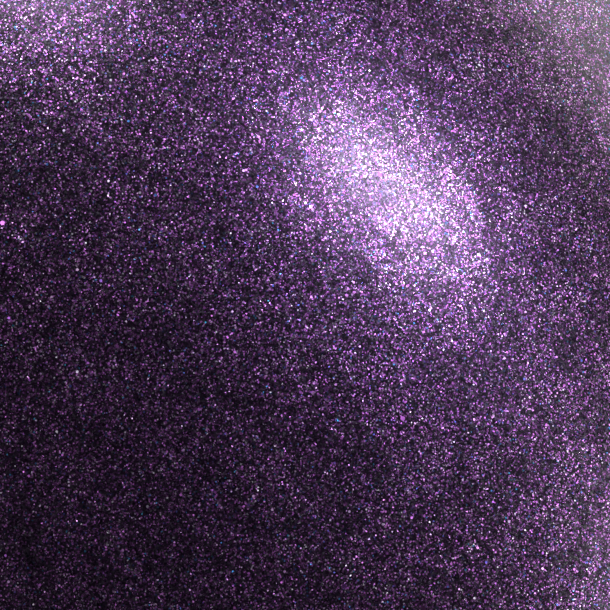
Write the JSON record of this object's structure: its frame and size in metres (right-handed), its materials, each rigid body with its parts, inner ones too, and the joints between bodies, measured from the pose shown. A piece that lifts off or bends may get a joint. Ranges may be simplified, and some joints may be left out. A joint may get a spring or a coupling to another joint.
{
  "type": "juggling club",
  "caption": "Juggling club: a wooden dowel core carries a padded wrapped handle, a hollow body in purple glitter film, and a soft knob and cap.",
  "frame": {"origin": "centre of the knob's flat end face, which the club stands on", "axes": "+Z along the club's axis, from the knob to the cap; X and Y each pass through two of the neck pins"},
  "size_m": [0.0934, 0.0934, 0.52],
  "materials": {
    "beech": "satin",
    "black_polyethylene": "satin",
    "natural_polyethylene": "satin",
    "grip_foam": "matte",
    "silver_wrap": "gloss",
    "silver_tape": "gloss",
    "purple_tape": "gloss",
    "purple_glitter": "gloss",
    "black_foam_rubber": "matte",
    "white_nylon": "satin",
    "zinc_steel": "satin"
  },
  "bodies": {
    "root": {"body_shell": "black_polyethylene", "cap_gasket": "grip_foam", "cap_screw": "zinc_steel", "cap_washer": "zinc_steel", "dowel": "beech", "glitter_film": "purple_glitter", "grip_padding": "grip_foam", "handle_end_bush": "white_nylon", "handle_sleeve": "natural_polyethylene", "handle_wrap": "silver_wrap", "knob": "black_foam_rubber", "knob_screw": "zinc_steel", "knob_washer": "zinc_steel", "lower_trim_tape": "silver_tape", "neck_bush": "white_nylon", "neck_pin_1": "zinc_steel", "neck_pin_2": "zinc_steel", "neck_pin_3": "zinc_steel", "neck_pin_4": "zinc_steel", "neck_tape": "purple_tape", "top_bush": "white_nylon", "top_cap": "black_foam_rubber", "upper_trim_tape": "silver_tape", "wrap_end_tape": "purple_tape"}
  },
  "joints": []
}
